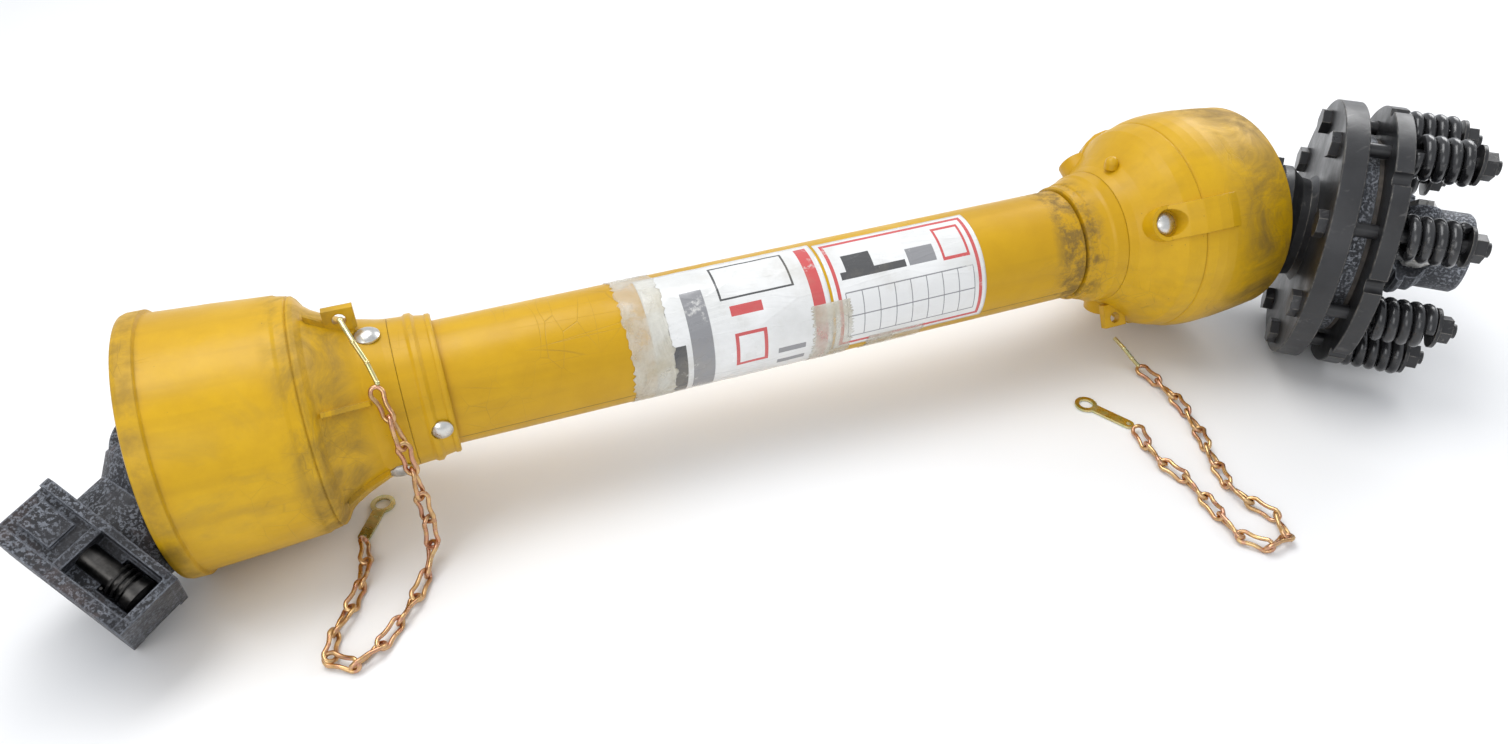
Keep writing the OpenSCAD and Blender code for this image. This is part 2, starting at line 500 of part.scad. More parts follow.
outer_drive_tube();
tractor_tube_yoke();
tractor_roll_pin();
tractor_cups_a();
tractor_needles_a();
tractor_rings_a();
tractor_spider();
tractor_seals();
tractor_nipple();
quick_release_yoke();
tractor_cups_b();
tractor_needles_b();
tractor_rings_b();
release_spring();
release_pin();
guard_tube();
tractor_bell();
tractor_collar();
tractor_bearing_ring();
tractor_bell_screws();
tractor_collar_screw();
paper_wrap();
rating_label();
tractor_chain_hook();
tractor_chain();
tractor_chain_clip();
inner_drive_tube();
implement_tube_yoke();
implement_roll_pin();
implement_cups_a();
implement_needles_a();
implement_rings_a();
guard_inner_tube();
implement_bell();
implement_collar();
implement_bearing_ring();
implement_bell_screws();
implement_bell_plug();
implement_chain_hook();
implement_chain();
implement_chain_clip();
implement_spider();
implement_seals();
implement_nipple();
clutch_flange_yoke();
clutch_cups_b();
clutch_needles_b();
clutch_rings_b();
clutch_bush();
pressure_plate();
clutch_bolts();
clutch_springs();
clutch_nuts();
clutch_hub();
friction_linings();
hub_clamp_bolt();
hub_clamp_nut();
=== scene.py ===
import bpy, bmesh, json, math, random
from mathutils import Vector, Matrix


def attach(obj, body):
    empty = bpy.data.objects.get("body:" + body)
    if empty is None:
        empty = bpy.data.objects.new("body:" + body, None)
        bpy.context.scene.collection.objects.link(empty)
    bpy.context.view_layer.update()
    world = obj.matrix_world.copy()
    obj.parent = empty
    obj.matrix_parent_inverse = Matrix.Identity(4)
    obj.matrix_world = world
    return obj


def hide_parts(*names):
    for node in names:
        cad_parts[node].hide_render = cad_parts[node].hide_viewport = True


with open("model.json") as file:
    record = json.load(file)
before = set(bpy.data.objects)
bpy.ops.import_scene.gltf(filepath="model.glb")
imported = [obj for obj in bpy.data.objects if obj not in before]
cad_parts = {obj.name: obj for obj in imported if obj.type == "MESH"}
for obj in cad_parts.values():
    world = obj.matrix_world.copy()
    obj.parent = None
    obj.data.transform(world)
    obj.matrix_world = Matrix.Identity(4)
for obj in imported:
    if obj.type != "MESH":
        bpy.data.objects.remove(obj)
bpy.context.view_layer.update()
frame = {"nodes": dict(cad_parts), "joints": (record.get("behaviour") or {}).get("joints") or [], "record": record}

N = frame["nodes"]
REC = frame["record"]
JOINT = {j["name"]: j for j in frame["joints"]}

# ---------------------------------------------------------------- frames
xs = Vector(JOINT["shaft_slide"]["axis"]).normalized()          # along the shaft
c_i = Vector(JOINT["implement_cross_hinge"]["pos_m"])           # clutch side cross
c_t = Vector(JOINT["tractor_cross_hinge"]["pos_m"])             # tractor side cross
CI0 = Vector((0.3230847, 0.08471, 0.096))
org = c_i - xs * 0.551                                          # station 0
up = (Vector((0, 0, 1)) - xs * xs.z).normalized()
side = xs.cross(up).normalized()                                # toward -Y
xc = Vector(JOINT["clutch_slip"]["axis"]).normalized()          # clutch axis, outward
yc = Vector(JOINT["clutch_yoke_hinge"]["axis"]).normalized()
zc = xc.cross(yc).normalized()


def sh(s, r, a):
    """point on the shaft frame: station, radius (mm), angle in degrees from up toward the front"""
    a = math.radians(a)
    return org + xs * (s / 1000) + (up * math.cos(a) + side * math.sin(a)) * (r / 1000)


# ---------------------------------------------------------------- camera
cam_d = bpy.data.cameras.new("cam")
cam = bpy.data.objects.new("cam", cam_d)
bpy.context.scene.collection.objects.link(cam)
R_right = Vector((0.936849, -0.349704, 0.004512))
R_down = Vector((-0.211132, -0.575809, -0.789852))
R_fwd = Vector((0.278813, 0.739020, -0.613280))
m = Matrix.Identity(4)
for i, v in enumerate((R_right, -R_down, -R_fwd)):
    for k in range(3):
        m[k][i] = v[k]
m.translation = c_i + Vector((-0.265175, -0.492401, 0.515655)) - CI0
cam.matrix_world = m
cam_d.sensor_fit = "HORIZONTAL"
cam_d.sensor_width = 36
cam_d.lens = 26.015
cam_d.clip_start = 0.01
bpy.context.scene.camera = cam

# ---------------------------------------------------------------- node helpers


class M:
    """small helper for building a node material"""

    def __init__(self, name):
        self.mat = bpy.data.materials.new(name)
        self.mat.use_nodes = True
        self.t = self.mat.node_tree
        for n in list(self.t.nodes):
            self.t.nodes.remove(n)
        self.out = self.t.nodes.new("ShaderNodeOutputMaterial")
        self.b = self.t.nodes.new("ShaderNodeBsdfPrincipled")
        self.t.links.new(self.b.outputs[0], self.out.inputs[0])
        self.tc = self.t.nodes.new("ShaderNodeTexCoord")

    def n(self, kind, **kw):
        x = self.t.nodes.new(kind)
        for k, v in kw.items():
            setattr(x, k, v)
        return x

    def link(self, a, b):
        self.t.links.new(a, b)

    def val(self, sock, v):
        if hasattr(v, "is_output"):
            self.link(v, sock)
        else:
            sock.default_value = v

    def co(self, scale=(1, 1, 1), rot=(0, 0, 0), src="Object", loc=(0, 0, 0)):
        mp = self.n("ShaderNodeMapping")
        mp.inputs["Scale"].default_value = scale
        mp.inputs["Rotation"].default_value = rot
        mp.inputs["Location"].default_value = loc
        self.link(self.tc.outputs[src], mp.inputs["Vector"])
        return mp.outputs[0]

    def noise(self, scale, detail=4, rough=0.55, vec=None, dist=0.0):
        x = self.n("ShaderNodeTexNoise")
        x.inputs["Scale"].default_value = scale
        x.inputs["Detail"].default_value = detail
        x.inputs["Roughness"].default_value = rough
        x.inputs["Distortion"].default_value = dist
        self.link(vec if vec is not None else self.tc.outputs["Object"], x.inputs["Vector"])
        return x.outputs["Fac"]

    def vor(self, scale, feature="F1", vec=None, out="Distance", rnd=1.0):
        x = self.n("ShaderNodeTexVoronoi", feature=feature)
        x.inputs["Scale"].default_value = scale
        x.inputs["Randomness"].default_value = rnd
        self.link(vec if vec is not None else self.tc.outputs["Object"], x.inputs["Vector"])
        return x.outputs[out]

    def ramp(self, f, *stops):
        r = self.n("ShaderNodeValToRGB")
        e = r.color_ramp.elements
        while len(e) > 1:
            e.remove(e[-1])
        e[0].position, e[0].color = stops[0][0], (*stops[0][1], 1) if not isinstance(stops[0][1], float) else (stops[0][1],) * 3 + (1,)
        for p, c in stops[1:]:
            k = e.new(p)
            k.color = (*c, 1) if not isinstance(c, float) else (c, c, c, 1)
        self.link(f, r.inputs[0])
        return r.outputs[0]

    def math(self, op, a, b=0.5, clamp=False):
        x = self.n("ShaderNodeMath", operation=op, use_clamp=clamp)
        self.val(x.inputs[0], a)
        self.val(x.inputs[1], b)
        return x.outputs[0]

    def mix(self, f, a, b, mode="MIX"):
        x = self.n("ShaderNodeMix", data_type="RGBA", blend_type=mode)
        self.val(x.inputs[0], f)
        for s, v in ((x.inputs[6], a), (x.inputs[7], b)):
            if isinstance(v, tuple):
                v = (*v, 1) if len(v) == 3 else v
            self.val(s, v)
        return x.outputs[2]

    def dot(self, vec, v, off=0.0):
        """distance of a point along a direction, in metres, from off"""
        x = self.n("ShaderNodeVectorMath", operation="DOT_PRODUCT")
        self.link(vec, x.inputs[0])
        x.inputs[1].default_value = v
        return self.math("SUBTRACT", x.outputs["Value"], off)

    def bump(self, h, strength=0.3, dist=0.001, prev=None):
        x = self.n("ShaderNodeBump")
        x.inputs["Strength"].default_value = strength
        x.inputs["Distance"].default_value = dist
        self.link(h, x.inputs["Height"])
        if prev is not None:
            self.link(prev, x.inputs["Normal"])
        return x.outputs[0]

    def bevel(self, radius):
        """rounded-edge normal, and a mask of the edges it rounds"""
        x = self.n("ShaderNodeBevel", samples=4)
        x.inputs["Radius"].default_value = radius
        g = self.n("ShaderNodeNewGeometry")
        d = self.n("ShaderNodeVectorMath", operation="DOT_PRODUCT")
        self.link(x.outputs[0], d.inputs[0])
        self.link(g.outputs["Normal"], d.inputs[1])
        return x.outputs[0], self.ramp(self.math("SUBTRACT", 1.0, d.outputs["Value"]), (0.01, 0.0), (0.09, 1.0))

    def fin(self, color=None, rough=None, metal=0.0, normal=None, **kw):
        if color is not None:
            self.val(self.b.inputs["Base Color"], (*color, 1) if isinstance(color, tuple) and len(color) == 3 else color)
        if rough is not None:
            self.val(self.b.inputs["Roughness"], rough)
        self.val(self.b.inputs["Metallic"], metal)
        if normal is not None:
            self.link(normal, self.b.inputs["Normal"])
        for k, v in kw.items():
            self.val(self.b.inputs[k], v)
        return self.mat


def band(mt, x, lo, hi, soft):
    """1 between lo and hi (metres), with soft ends"""
    a = mt.math("DIVIDE", mt.math("SUBTRACT", x, lo), soft, True)
    b = mt.math("DIVIDE", mt.math("SUBTRACT", hi, x), soft, True)
    return mt.math("MULTIPLY", a, b, True)


def yellow(name, tint=1.0):
    k = M(name)
    obj = k.tc.outputs["Object"]
    s = k.dot(obj, xs, org.dot(xs))                       # station in metres
    ang = k.math("ARCTAN2", k.dot(obj, side, org.dot(side)), k.dot(obj, up, org.dot(up)))
    # slow colour change, sun-bleached and deeper areas
    big = k.noise(7, 3, 0.5)
    c = k.mix(k.ramp(big, (0.3, 0.0), (0.7, 1.0)), (0.53 * tint, 0.295 * tint, 0.0035), (0.64 * tint, 0.375 * tint, 0.0045))
    fine = k.noise(60, 5, 0.65)
    c = k.mix(k.ramp(fine, (0.35, 0.0), (0.75, 0.35)), c, (0.44, 0.235, 0.005))
    # moulding flow streaks along the tube
    st = k.noise(20, 3, 0.5, k.co((0.25, 4, 4)))
    c = k.mix(k.ramp(st, (0.52, 0.0), (0.70, 0.30)), c, (0.42, 0.235, 0.006))
    # greasy smears
    sm = k.noise(14, 6, 0.62, k.co((1.0, 1.0, 1.6)), 0.6)
    smear = k.math("MULTIPLY", k.ramp(sm, (0.57, 0.0), (0.68, 0.30), (0.80, 0.5)), k.ramp(k.noise(5, 2), (0.42, 0.25), (0.62, 1.0)), True)
    c = k.mix(smear, c, (0.30, 0.19, 0.035))
    # dirt toward the implement bell's mouth, round the collars and at the tube's end
    patch = k.noise(26, 6, 0.7, None, 0.8)
    d1 = k.math("MULTIPLY", band(k, s, 0.508, 0.60, 0.03), k.ramp(patch, (0.40, 0.0), (0.66, 1.0)), True)
    d2 = k.math("MULTIPLY", band(k, s, 0.394, 0.436, 0.010), k.ramp(k.noise(70, 5, 0.75), (0.44, 0.0), (0.60, 1.0)), True)
    d3 = k.math("MULTIPLY", band(k, s, -0.125, -0.075, 0.012), k.ramp(patch, (0.42, 0.0), (0.70, 1.0)), True)
    d4 = k.math("MULTIPLY", band(k, s, -0.200, -0.182, 0.006), k.ramp(fine, (0.40, 0.1), (0.70, 0.7)), True)
    d = k.math("MAXIMUM", k.math("MAXIMUM", d1, d2), k.math("MAXIMUM", d3, d4))
    c = k.mix(k.math("MULTIPLY", d, 0.72), c, (0.115, 0.078, 0.035))
    # thin scratches in two directions
    sc1 = k.ramp(k.vor(55, "DISTANCE_TO_EDGE", k.co((0.16, 1.6, 1.6), (0.2, 0.1, 0.5))), (0.0, 1.0), (0.012, 0.0))
    sc2 = k.ramp(k.vor(40, "DISTANCE_TO_EDGE", k.co((1.5, 0.22, 0.9), (0.4, 0.5, 0.1))), (0.0, 1.0), (0.010, 0.0))
    msk = k.ramp(k.noise(11, 3), (0.50, 0.0), (0.62, 1.0))
    scr = k.math("MULTIPLY", k.math("MAXIMUM", sc1, sc2), msk, True)
    c = k.mix(k.math("MULTIPLY", scr, 0.35), c, (0.20, 0.13, 0.03))
    # dark parting line low on the front of the tube
    pl = k.math("ABSOLUTE", k.math("SUBTRACT", ang, 2.02))
    line = k.math("MULTIPLY", k.math("LESS_THAN", pl, 0.011), band(k, s, -0.03, 0.42, 0.004), True)
    c = k.mix(k.math("MULTIPLY", line, 0.7), c, (0.08, 0.05, 0.01))
    # specks
    sp = k.ramp(k.vor(150), (0.03, 1.0), (0.06, 0.0))
    sp = k.math("MULTIPLY", sp, k.ramp(k.noise(18, 2), (0.55, 0.0), (0.62, 1.0)), True)
    c = k.mix(k.math("MULTIPLY", sp, 0.7), c, (0.06, 0.045, 0.02))
    r = k.math("ADD", k.ramp(k.noise(35, 4), (0.3, 0.30), (0.7, 0.47)), k.math("MULTIPLY", d, 0.3), True)
    nb, _ = k.bevel(0.0012)
    b1 = k.bump(k.noise(230, 3, 0.6), 0.10, 0.0006, nb)
    b2 = k.bump(k.noise(16, 3, 0.5), 0.22, 0.004, b1)
    b3 = k.bump(k.math("SUBTRACT", 1.0, scr), 0.35, 0.0004, b2)
    return k.fin(c, r, 0.0, b3, **{"Specular IOR Level": 0.30, "Coat Weight": 0.04, "Coat Roughness": 0.3})


def cast(name, base=(0.030, 0.031, 0.034), worn=(0.17, 0.17, 0.18), grain=220, wear=0.5, rust=0.0, metal=0.35):
    k = M(name)
    g = k.noise(grain, 6, 0.7)
    big = k.noise(22, 5, 0.6)
    c = k.mix(k.ramp(big, (0.35, 0.0), (0.7, 1.0)), base, tuple(min(1, v * 2.1 + 0.004) for v in base))
    w = k.math("MULTIPLY", k.ramp(k.noise(60, 8, 0.76), (0.52, 0.0), (0.70, 0.8)), wear, True)
    c = k.mix(w, c, worn)
    spk = k.math("MULTIPLY", k.ramp(k.noise(520, 4, 0.7), (0.50, 0.0), (0.58, 1.0)), k.ramp(k.noise(26, 5, 0.65), (0.38, 0.1), (0.55, min(1.0, wear * 1.6))), True)
    c = k.mix(spk, c, tuple(min(1, v * 1.9) for v in worn))
    nb, edge = k.bevel(0.0016)
    em = k.math("MULTIPLY", edge, k.ramp(k.noise(70, 6, 0.75), (0.36, 0.25), (0.56, 1.0)), True)
    c = k.mix(em, c, tuple(min(1, v * 2.0) for v in worn))
    if rust:
        ru = k.math("MULTIPLY", k.ramp(k.noise(30, 7, 0.7), (0.55, 0.0), (0.7, 1.0)), rust, True)
        c = k.mix(ru, c, (0.16, 0.062, 0.022))
    dirt = k.ramp(k.noise(24, 5, 0.6), (0.56, 0.0), (0.74, 0.30))
    c = k.mix(dirt, c, (0.050, 0.040, 0.030))
    r = k.ramp(k.noise(60, 5, 0.65), (0.3, 0.38), (0.7, 0.68))
    b1 = k.bump(g, 0.55, 0.0010, nb)
    b2 = k.bump(k.vor(grain * 0.45), 0.25, 0.0010, b1)
    b3 = k.bump(k.noise(30, 4), 0.3, 0.003, b2)
    return k.fin(c, r, metal, b3)


def black_paint(name, gloss=0.30):
    k = M(name)
    c = k.mix(k.ramp(k.noise(25, 5, 0.6), (0.35, 0.0), (0.7, 1.0)), (0.008, 0.008, 0.009), (0.020, 0.020, 0.022))
    chips = k.ramp(k.noise(240, 7, 0.75), (0.585, 0.0), (0.62, 1.0))
    nb, edge = k.bevel(0.0010)
    em = k.math("MULTIPLY", edge, k.ramp(k.noise(160, 6, 0.75), (0.42, 0.0), (0.54, 1.0)), True)
    worn = k.math("MAXIMUM", k.math("MULTIPLY", chips, k.ramp(k.noise(15, 3), (0.52, 0.0), (0.66, 0.45))), em, True)
    c = k.mix(worn, c, (0.24, 0.225, 0.20))
    dust = k.ramp(k.noise(28, 7, 0.7), (0.52, 0.0), (0.80, 0.22))
    c = k.mix(dust, c, (0.050, 0.045, 0.040))
    sc = k.ramp(k.noise(90, 3, 0.6, k.co((0.12, 1.6, 1.6), (0.3, 0.9, 0.2))), (0.60, 0.0), (0.64, 1.0))
    sc = k.math("MULTIPLY", sc, k.ramp(k.noise(30, 3), (0.50, 0.0), (0.6, 0.35)), True)
    c = k.mix(sc, c, (0.13, 0.125, 0.12))
    r = k.math("ADD", k.ramp(k.noise(40, 5), (0.3, gloss), (0.7, gloss + 0.22)), k.math("MULTIPLY", dust, 0.5), True)
    b1 = k.bump(k.noise(150, 5, 0.65), 0.25, 0.0007, nb)
    b2 = k.bump(k.math("SUBTRACT", 1.0, worn), 0.5, 0.0003, b1)
    return k.fin(c, r, k.math("MULTIPLY", worn, 0.8), b2, **{"Coat Weight": 0.15, "Coat Roughness": 0.3})


def spring_mat(name):
    k = M(name)
    c = k.mix(k.ramp(k.noise(40, 5, 0.6), (0.35, 0.0), (0.7, 1.0)), (0.010, 0.010, 0.011), (0.028, 0.028, 0.030))
    ch = k.ramp(k.noise(140, 6, 0.7), (0.60, 0.0), (0.66, 0.7))
    c = k.mix(ch, c, (0.14, 0.135, 0.13))
    r = k.ramp(k.noise(60, 4), (0.3, 0.18), (0.7, 0.36))
    return k.fin(c, r, 0.25, k.bump(k.noise(320, 4, 0.6), 0.22, 0.0005), **{"Coat Weight": 0.5, "Coat Roughness": 0.15})


def metal(name, a, b, r0=0.22, r1=0.42, grain=180, dirt=0.35, dc=(0.06, 0.05, 0.04), iri=None):
    k = M(name)
    c = k.mix(k.ramp(k.noise(grain * 0.5, 4, 0.6), (0.35, 0.0), (0.65, 1.0)), a, b)
    if iri:
        c = k.mix(k.ramp(k.noise(95, 3, 0.5, None, 1.5), (0.45, 0.0), (0.60, 0.75)), c, iri)
    dd = k.math("MULTIPLY", k.ramp(k.noise(70, 7, 0.72), (0.52, 0.0), (0.68, 1.0)), dirt, True)
    c = k.mix(dd, c, dc)
    r = k.math("ADD", k.ramp(k.noise(grain, 4), (0.3, r0), (0.7, r1)), k.math("MULTIPLY", dd, 0.4), True)
    return k.fin(c, r, k.math("SUBTRACT", 1.0, k.math("MULTIPLY", dd, 0.6)), k.bump(k.noise(grain * 3, 3), 0.16, 0.0003))


def plain(name, a, b, scale=60, r=(0.45, 0.65), bump=0.2, bscale=200, **kw):
    k = M(name)
    c = k.mix(k.ramp(k.noise(scale, 5, 0.6), (0.35, 0.0), (0.68, 1.0)), a, b)
    return k.fin(c, k.ramp(k.noise(scale * 1.3, 3), (0.3, r[0]), (0.7, r[1])), 0.0, k.bump(k.noise(bscale, 4), bump, 0.0006), **kw)


MAT = {
    "yellow_guard": yellow("guard_yellow"),
    "nylon": plain("nylon_white", (0.72, 0.68, 0.58), (0.55, 0.50, 0.40), 50),
    "cast_yoke": cast("cast_black", base=(0.007, 0.007, 0.009), worn=(0.13, 0.14, 0.16), wear=0.42, rust=0.22, metal=0.12),
    "black_paint": black_paint("plate_black"),
    "black_steel": black_paint("bolt_black", 0.26),
    "bright_steel": metal("ground_steel", (0.46, 0.46, 0.47), (0.60, 0.60, 0.61), 0.2, 0.36),
    "ring_steel": metal("phosphated_ring", (0.10, 0.10, 0.10), (0.18, 0.17, 0.16), 0.35, 0.5),
    "zinc": metal("zinc_plate", (0.58, 0.57, 0.54), (0.74, 0.73, 0.70), 0.22, 0.42, 160, 0.55, (0.13, 0.10, 0.07)),
    "chain_steel": metal("chromate_chain", (0.55, 0.33, 0.15), (0.72, 0.50, 0.24), 0.20, 0.40, 150, 0.40, (0.12, 0.07, 0.04), (0.55, 0.27, 0.20)),
    "brass_fitting": metal("brass_turned", (0.60, 0.42, 0.16), (0.72, 0.54, 0.24), 0.2, 0.35),
    "seal_rubber": plain("seal_black", (0.012, 0.012, 0.012), (0.03, 0.03, 0.03), 80),
    "lining": plain("friction_lining", (0.050, 0.044, 0.040), (0.10, 0.085, 0.070), 180, (0.7, 0.9), 0.6, 400),
    "paper": plain("film_edge", (0.72, 0.72, 0.70), (0.55, 0.54, 0.50), 40, (0.2, 0.4)),
}
HUB = cast("hub_cast", base=(0.035, 0.037, 0.042), worn=(0.20, 0.21, 0.23), wear=0.55, metal=0.45)
SPR = spring_mat("spring_black")
PIN = metal("oiled_pin", (0.045, 0.043, 0.040), (0.11, 0.105, 0.10), 0.28, 0.5, 150, 0.6, (0.02, 0.017, 0.014))
CLIP = metal("clip_chromate", (0.62, 0.50, 0.22), (0.74, 0.66, 0.36), 0.18, 0.34, 120, 0.35, (0.16, 0.10, 0.05), (0.50, 0.55, 0.30))

slot_of = {s["node"]: s["material_slot"] for s in REC["subparts"]}
for name, o in N.items():
    mt = MAT[slot_of[name]]
    if name in ("clutch_hub",):
        mt = HUB
    if name in ("tractor_chain_clip", "implement_chain_clip", "implement_chain_hook", "tractor_chain_hook"):
        mt = CLIP
    if name in ("release_pin", "release_spring"):
        mt = PIN
    if not o.material_slots:
        o.data.materials.append(mt)
    else:
        for sl in o.material_slots:
            sl.link = "OBJECT"
            sl.material = mt


def new_obj(name, me, mat, smooth=True):
    o = bpy.data.objects.new(name, me)
    bpy.context.scene.collection.objects.link(o)
    me.materials.append(mat)
    if smooth:
        for p in me.polygons:
            p.use_smooth = True
    return o


def tube_mesh(name, pts, rad, mat, ring=10, closed=False, caps=True):
    """a round wire through pts with frames carried along it"""
    n = len(pts)
    verts, faces = [], []
    tang = []
    for i in range(n):
        a = pts[(i - 1) % n] if (closed or i > 0) else pts[i]
        b = pts[(i + 1) % n] if (closed or i < n - 1) else pts[i]
        tang.append((b - a).normalized())
    u = tang[0].orthogonal().normalized()
    for i in range(n):
        t = tang[i]
        u = (u - t * u.dot(t)).normalized()
        v = t.cross(u)
        r = rad[i] if isinstance(rad, (list, tuple)) else rad
        for j in range(ring):
            a = 2 * math.pi * j / ring
            verts.append(pts[i] + (u * math.cos(a) + v * math.sin(a)) * r)
    # frame twist closure offset
    off = 0
    if closed:
        t = tang[0]
        u0 = (verts[0] - pts[0])
        u0 = (u0 - t * u0.dot(t)).normalized()
        ue = (u - t * u.dot(t)).normalized()
        v0 = t.cross(u0)
        ang = math.atan2(ue.dot(v0), ue.dot(u0))
        off = round(ang / (2 * math.pi / ring)) % ring
    m_ = n if closed else n - 1
    for i in range(m_):
        k = (i + 1) % n
        sh_ = off if (closed and k == 0) else 0
        for j in range(ring):
            a, b = i * ring + j, i * ring + (j + 1) % ring
            c, d = k * ring + (j + 1 + sh_) % ring, k * ring + (j + sh_) % ring
            faces.append((a, b, c, d))
    if not closed and caps:
        faces.append(tuple(reversed(range(ring))))
        faces.append(tuple(range((n - 1) * ring, n * ring)))
    me = bpy.data.meshes.new(name)
    me.from_pydata([tuple(v) for v in verts], [], faces)
    me.update()
    return me


def join_meshes(name, meshes, mat):
    bm = bmesh.new()
    for me in meshes:
        bm.from_mesh(me)
    bmesh.ops.recalc_face_normals(bm, faces=bm.faces)
    out = bpy.data.meshes.new(name)
    bm.to_mesh(out)
    bm.free()
    for me in meshes:
        bpy.data.meshes.remove(me)
    return new_obj(name, out, mat)


# ---------------------------------------------------------------- clutch springs, smooth wound with closed ends
BOLT_R, NB = 0.080, 8
SPR_R, WIRE, X0, X1 = 0.0121, 0.0039, 0.1186, 0.1606
springs = []
for i in range(NB):
    a = math.radians(360 / NB * (i + 0.5))
    ctr = c_i + (yc * math.cos(a) + zc * math.sin(a)) * BOLT_R
    e1 = (yc * math.cos(a) + zc * math.sin(a))
    e2 = xc.cross(e1)
    turns, per = 4.6, 30
    n = int(turns * per)
    pts = []
    ph = 0.7 * i
    for kx in range(n + 1):
        t = kx / n
        # closed end turns lie flat, active turns are spaced
        q = t * turns
        flat = 0.55
        if q < flat:
            z = 0.085 * (q / flat) ** 2
        elif q > turns - flat:
            z = 1 - 0.085 * ((turns - q) / flat) ** 2
        else:
            z = 0.085 + 0.83 * (q - flat) / (turns - 2 * flat)
        x = X0 + WIRE + (X1 - X0 - 2 * WIRE) * z
        an = 2 * math.pi * q + ph
        pts.append(ctr + xc * x + (e1 * math.cos(an) + e2 * math.sin(an)) * SPR_R)
    springs.append(tube_mesh("s%d" % i, pts, WIRE, SPR, 14))
sp = join_meshes("clutch_spring_set", springs, SPR)
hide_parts("clutch_springs")
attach(sp, "clutch_drive")

# ---------------------------------------------------------------- chains: twisted wire links set where the CAD links are
SH = Vector((-0.22781, 0.08471, 0)) + c_i - CI0
RAIL_T = [(-69, -44, 122), (-64, -54, 104), (-60, -60, 78), (-58, -63, 50), (-57, -66, 24), (-61, -74, 8), (-72, -96, 5), (-88, -118, 5),
          (-106, -136, 5), (-124, -134, 5), (-122, -112, 5), (-108, -88, 5), (-100, -64, 5), (-99, -40, 5)]
RAIL_I = [(475, -60, 5.4), (478, -88, 5), (474, -122, 5), (462, -158, 5), (452, -194, 5), (462, -226, 5), (450, -246, 5), (430, -236, 5),
          (428, -206, 5), (430, -178, 5), (424, -148, 5), (430, -118, 5)]


def rail_path(p):
    p = [Vector(v) for v in p]
    q = []
    for i in range(len(p) - 1):
        a, b, c, d = p[max(i - 1, 0)], p[i], p[i + 1], p[min(i + 2, len(p) - 1)]
        for k_ in range(10):
            t = k_ / 10
            q.append(0.5 * (2 * b + (c - a) * t + (2 * a - 5 * b + 4 * c - d) * t * t + (3 * b - a - 3 * c + d) * t ** 3))
    q.append(p[-1])
    return q


def along(q, l, s_):
    s_ = min(max(s_, 0), l[-1] - 1e-6)
    i = max(j for j in range(len(l)) if l[j] <= s_)
    i = min(i, len(l) - 2)
    return q[i] + (q[i + 1] - q[i]) * ((s_ - l[i]) / (l[i + 1] - l[i]))


def chain_piece(name, rail, node, body):
    q = rail_path(rail)
    l = [0.0]
    for i in range(1, len(q)):
        l.append(l[-1] + (q[i] - q[i - 1]).length)
    n = math.floor((l[-1] + 0.01) / 18.1)
    pitch = l[-1] / n
    rnd = random.Random(len(name))
    ms = []
    for i in range(n):
        A, B = along(q, l, i * pitch + 0.01), along(q, l, (i + 1) * pitch - 0.01)
        a = (B - A).normalized()
        lvl = Vector((-a.y, a.x, 0))
        if lvl.length < 1e-3:
            lvl = Vector((0, 1, 0))
        lvl.normalize()
        nz = a.cross(lvl)
        roll = math.radians((45 if i % 2 == 0 else -45) + rnd.uniform(-5, 5))
        b = lvl * math.cos(roll) + nz * math.sin(roll)
        n_ = a.cross(b)
        c = (A + B) / 2
        wr, ha, hb = 1.42, pitch / 2 + 1.9, 4.35
        pts = []
        for k_ in range(48):
            t = 2 * math.pi * k_ / 48
            ct, st = math.cos(t), math.sin(t)
            x = math.copysign(abs(ct) ** 0.72, ct) * ha
            y = math.copysign(abs(st) ** 0.85, st) * hb * (0.62 + 0.38 * min(1, abs(x) / (ha * 0.62)) ** 2)
            tw = math.radians(22) * (x / ha)
            lift = 0.8 * st * (1 - abs(x) / ha)
            v = c + a * x + b * (y * math.cos(tw) - lift * math.sin(tw)) + n_ * (y * math.sin(tw) + lift * math.cos(tw))
            v.z = max(v.z, wr + 0.1)
            pts.append(v / 1000 + SH)
        ms.append(tube_mesh("l%d" % i, pts, wr / 1000, MAT["chain_steel"], 9, closed=True))
    o = join_meshes(name, ms, MAT["chain_steel"])
    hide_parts(node)
    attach(o, body)


chain_piece("tractor_chain_links", RAIL_T, "tractor_chain", "tractor_chain")
chain_piece("implement_chain_links", RAIL_I, "implement_chain", "implement_chain")

# ---------------------------------------------------------------- labels


